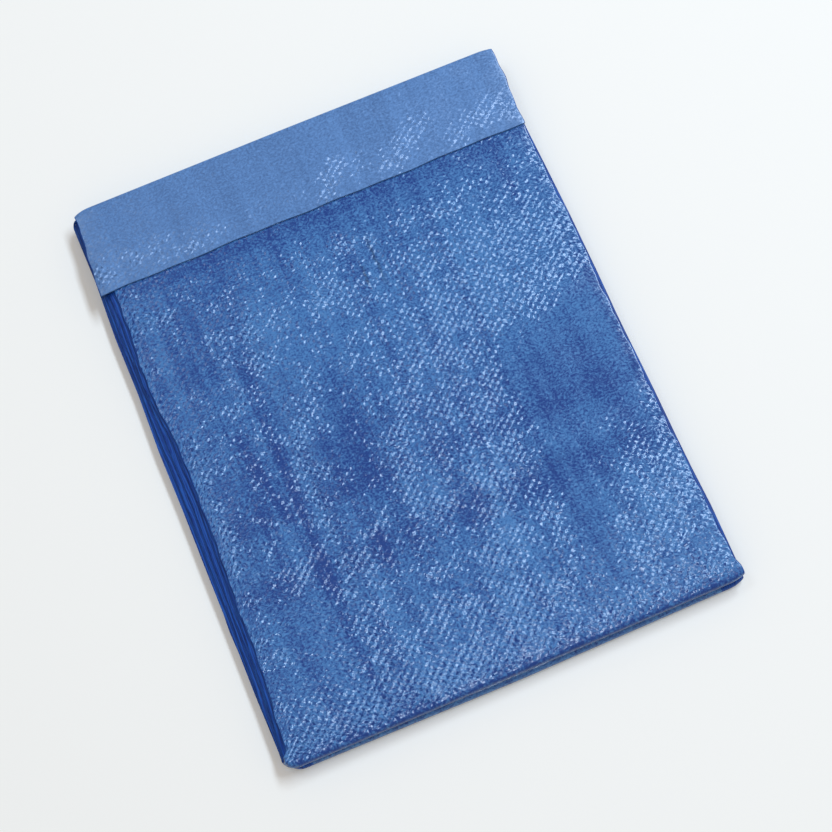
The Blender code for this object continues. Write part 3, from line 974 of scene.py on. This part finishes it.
def folded_tarp():
    """The whole tarp as one closed sheet on its folds, with the weave's coordinates on it."""
    side = sheet_columns()
    column_count = len(side)
    middle, levels = folded_middle(side)
    steps = np.linalg.norm(np.diff(middle, axis=0), axis=-1)
    along = np.concatenate([np.zeros((1, column_count)), np.cumsum(steps, axis=0)])
    centre_along = along[:, column_count // 2]
    ring, edge_count = folded_ring(middle, centre_along)
    row_count, ring_count = ring.shape[:2]
    points = ring.reshape(-1, 3)

    quads = ring_faces(row_count, ring_count)
    slots = side_slots(side, levels, edge_count, ring_count)
    caps = [end_cap(0, column_count, edge_count, True),
            end_cap((row_count - 1) * ring_count, column_count, edge_count, False)]
    faces = quads.tolist()
    for (cap_quads, cap_triangles), slot in zip(caps, (REVERSE, PLY_EDGES_IN_PAINTED_SHADE)):
        faces += cap_quads.tolist() + cap_triangles.tolist()
        slots = np.concatenate([slots, np.full(len(cap_quads) + len(cap_triangles), slot)])

    materials = [
        tarp_face("laminated_woven_polyethylene_face", "#103B80", "#447AB2", 0.22,
                  CREST_LEAN, 1.0),
        tarp_face("laminated_woven_polyethylene_reverse", "#466A9A", "#5E89BF", 0.27,
                  -CREST_LEAN, 0.75),
        # Painted shade: the ply edges and inner side strips are coloured dark as the shade they lie in.
        ply_edges("folded_ply_edges_in_painted_shade", "#2157A8", "#0A286E", 0.40),
    ]
    tarp = make_piece("folded_tarp_sheet", points, faces, materials, slots)
    mesh = tarp.data

    # The weave's coordinates: tapes counted across the sheet and along it.
    sideways = ring[:, :, 0] + WIDTH / 2
    ring_along = np.concatenate([
        along, np.repeat(along[:, -1:], edge_count, axis=1), along[:, ::-1],
        np.repeat(along[:, :1], edge_count, axis=1)], axis=1)
    count_across = (sideways - weave_slant(centre_along)[:, None]) / TAPE_ACROSS
    count_along = ring_along / TAPE_ALONG
    coordinates = np.stack([count_across, count_along], -1).reshape(-1, 2).astype(np.float32)
    corners = np.empty(len(mesh.loops), np.int32)
    mesh.loops.foreach_get("vertex_index", corners)
    coordinates = coordinates[corners]
    # On the two cut ends the count along the sheet goes on down the thickness.
    coordinates[quads.size:, 1] += points[corners[quads.size:], 2] / TAPE_ALONG
    weave = mesh.uv_layers.new(name="weave")
    weave.data.foreach_set("uv", coordinates.ravel())

    # How crisp the weave stands: the top panel's patches, and the flap's on its own side.
    up_the_panel = ring[:, :, 1] + LENGTH / 2
    crisp = crispness(sideways, up_the_panel, CRISP_PATCHES, CRISP_STROKES, SMOOTH_PATCHES,
                      CRISP_FLOOR)
    from_free_edge = up_the_panel - (LENGTH - FLAP_REACH)
    on_flap = (levels == FLAP_LEVEL)[:, None] & np.ones(ring_count, bool)[None, :]
    flap_crisp = crispness(sideways, from_free_edge, FLAP_CRISP_PATCHES, FLAP_CRISP_STROKES, (),
                           FLAP_CRISP_FLOOR)
    crisp *= 1.0 - FACET_SHARE * pressed_facet(sideways, up_the_panel)
    crisp = np.where(on_flap, flap_crisp, crisp)
    lay_on(mesh, "crisp", crisp)
    from_side = np.minimum(middle[:, :, 0] - middle[:, :1, 0], middle[:, -1:, 0] - middle[:, :, 0])
    edge_zero = np.zeros((row_count, edge_count))
    inwards = np.concatenate([from_side, edge_zero, from_side[:, ::-1], edge_zero], axis=1)
    lay_on(mesh, "inwards", inwards)
    # Painted light and shade on the sheet, with painted sheen where the weave stands crisp.
    lay_on(mesh, "painted_light_and_shade", paint_light_and_shade(ring, levels) + SHEEN_PAINTED_WHERE_CRISP * (crisp - CRISP_FLOOR))
    mesh.set_sharp_from_angle(angle=np.radians(SHARP_ANGLE))

    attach(tarp, "root")
    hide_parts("tarp")
    return tarp


# ---------------------------------------------------------------- floor, light and camera


def pale_floor():
    """Matt painted board, plain and pale, flush with the pack's underside."""
    half = 2.5
    points = np.array([(-half, -half, 0), (half, -half, 0), (half, half, 0), (-half, half, 0)])
    material = bpy.data.materials.new("matt_white_board")
    material.use_nodes = True
    shader = material.node_tree.nodes["Principled BSDF"]
    shader.inputs["Base Color"].default_value = linear("#F6F1E8")
    shader.inputs["Roughness"].default_value = 0.9
    shader.inputs["Specular IOR Level"].default_value = 0.1
    floor = make_piece("floor", points / MM, [[0, 1, 2, 3]], [material], [0])


def soft_light(name, colour, place_m, aim_m, size_m, watts):
    """Oblong softbox at a place, turned to face a point."""
    lamp = bpy.data.lights.new(name, "AREA")
    lamp.shape = "RECTANGLE"
    lamp.size, lamp.size_y = size_m
    lamp.energy = watts
    lamp.color = linear(colour)[:3]
    holder = bpy.data.objects.new(name, lamp)
    holder.location = place_m
    back = unit(np.array(place_m) - np.array(aim_m))
    right = unit(np.cross((0.0, 1.0, 0.001), back))
    up = np.cross(back, right)
    turn = np.stack([right, up, back], 1)
    holder.rotation_euler = (
        np.arctan2(turn[2, 1], turn[2, 2]), -np.arcsin(turn[2, 0]),
        np.arctan2(turn[1, 0], turn[0, 0]),
    )
    bpy.context.scene.collection.objects.link(holder)


# Softboxes over the pack: name, place in metres, size in metres and watts.
SOFTBOXES = (
    ("right_softbox", (1.6, 0.8, 2.5), (0.5, 2.0), 68.0),
    ("near_softbox", (0.0, -0.42, 2.4), (0.28, 0.14), 13.0),
    ("far_left_softbox", (-0.9, 1.2, 2.4), (0.6, 0.6), 7.0),
)
SOFTBOX_COLOUR = "#D3E8FF"
ROOM_COLOUR = "#FFEFDC"
ROOM_STRENGTH = 0.41


def studio():
    """Plain soft studio light: even room light, a long softbox above the right side, a small
    one above the lower half, for the weave's glints there, and a weak one at the far left."""
    world = bpy.data.worlds.new("even_room_light")
    world.use_nodes = True
    world.node_tree.nodes["Background"].inputs["Color"].default_value = linear(ROOM_COLOUR)
    world.node_tree.nodes["Background"].inputs["Strength"].default_value = ROOM_STRENGTH
    bpy.context.scene.world = world
    for name, place_m, size_m, watts in SOFTBOXES:
        soft_light(name, SOFTBOX_COLOUR, place_m, (0.0, 0.0, 0.0), size_m, watts)
    bpy.context.scene.view_settings.view_transform = "Standard"


CAMERA_PLACE = (-0.06218, -0.26877, 0.87201)
CAMERA_TURN_DEGREES = (16.646, 2.329, -22.754)
CAMERA_LENS = 72.17
CAMERA_SENSOR = 36.0


def camera_above():
    """Camera about 75 degrees above the pack, on its bottom-edge side."""
    data = bpy.data.cameras.new("camera")
    data.sensor_width = CAMERA_SENSOR
    data.lens = CAMERA_LENS
    camera = bpy.data.objects.new("camera", data)
    camera.location = CAMERA_PLACE
    camera.rotation_euler = np.radians(CAMERA_TURN_DEGREES)
    bpy.context.scene.collection.objects.link(camera)
    bpy.context.scene.camera = camera


folded_tarp()
pale_floor()
studio()
camera_above()

bpy.context.view_layer.update()
